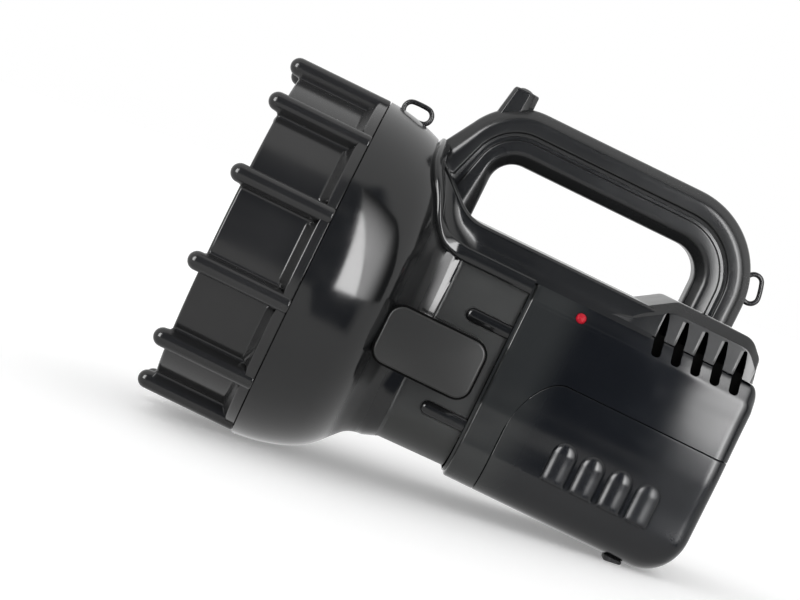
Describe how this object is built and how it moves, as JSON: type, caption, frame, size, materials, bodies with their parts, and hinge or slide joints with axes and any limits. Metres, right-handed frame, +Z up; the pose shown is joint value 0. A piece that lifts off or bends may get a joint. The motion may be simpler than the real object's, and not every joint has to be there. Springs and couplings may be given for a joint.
{
  "type": "handheld searchlight",
  "caption": "Black handheld searchlight with a large ribbed screw ring, bowl shaped head, closed loop handle and sliding battery cover.",
  "frame": {"origin": "middle of the lamp's box, on the floor that it stands on", "axes": "+Z up, +X towards the rear of the lamp, lens facing -X and tilted up by 8 degrees, as it rests on its head and feet"},
  "size_m": [0.2894, 0.1826, 0.2075],
  "materials": {
    "ring_black": "glossy moulded",
    "shell_black": "glossy moulded",
    "box_black": "glossy moulded",
    "pad_black": "satin moulded",
    "eyelet_black": "satin moulded",
    "clear_lens": "clear polished",
    "black_rubber": "matt moulded",
    "wire_black": "satin extruded",
    "wire_red": "satin extruded",
    "mirror_silver": "vacuum metallised",
    "bulb_glass": "clear",
    "holder_white": "moulded ceramic white",
    "steel": "zinc plated",
    "led_red": "translucent",
    "inner_black": "moulded",
    "battery_case": "plastic case, weighted as lead and acid",
    "board_green": "solder mask"
  },
  "bodies": {
    "lamp_body": {"reflector": "mirror_silver", "bulb": "bulb_glass", "bulb_holder": "holder_white", "bulb_clip": "steel", "head_shell": "shell_black", "name_pad_left": "pad_black", "name_pad_right": "pad_black", "front_strap_eyelet": "eyelet_black", "saddle": "shell_black", "handle_outer": "shell_black", "handle_inner": "shell_black", "rear_strap_eyelet": "eyelet_black", "switch_turret": "shell_black", "switch_body": "inner_black", "handle_screw_1": "steel", "handle_screw_2": "steel", "vent_pedestal": "shell_black", "rear_housing": "box_black", "indicator_led": "led_red", "charge_socket": "inner_black", "cap_pin": "steel", "neck_screw_1": "steel", "neck_screw_2": "steel", "neck_screw_3": "steel", "neck_screw_4": "steel", "battery": "battery_case", "battery_shelf": "inner_black", "battery_band": "steel", "band_screw_left": "steel", "band_screw_right": "steel", "charge_board": "board_green", "lamp_lead": "wire_black", "switch_lead": "wire_black", "battery_lead_red": "wire_red", "battery_lead_black": "wire_black"},
    "lens_pack": {"front_lens": "clear_lens", "lens_gasket": "black_rubber"},
    "screw_ring": {"bezel_ring": "ring_black"},
    "battery_door": {"battery_cover": "box_black", "foot_left": "black_rubber", "foot_right": "black_rubber"},
    "push_button": {"switch_button": "black_rubber"},
    "charge_cap": {"socket_cap": "black_rubber"}
  },
  "joints": [
    {"name": "lens_advance", "type": "slide", "parent": "lamp_body", "child": "lens_pack", "axis": [-0.9902, 0, 0.1398], "range_m": [0, 0.012]},
    {"name": "ring_turn", "type": "hinge", "parent": "lens_pack", "child": "screw_ring", "pos_m": [-0.0806, 0, 0.0905], "axis": [-0.9902, 0, 0.1398], "range_deg": [0, 1080]},
    {"name": "cover_slide", "type": "slide", "parent": "lamp_body", "child": "battery_door", "axis": [0.9902, 0, -0.1398], "range_m": [0, 0.12]},
    {"name": "button_press", "type": "slide", "parent": "lamp_body", "child": "push_button", "axis": [-0.2308, 0, -0.973], "range_m": [0, 0.0022], "stiffness_N_per_m": 800, "springref_m": -0.001},
    {"name": "cap_open", "type": "hinge", "parent": "lamp_body", "child": "charge_cap", "pos_m": [0.14324, 0, 0.09082], "axis": [0, -1, 0], "range_deg": [0, 100]}
  ],
  "couplings": [
    {"joint": "lens_advance", "follows": "ring_turn", "m_per_rad": 0.0006366}
  ]
}
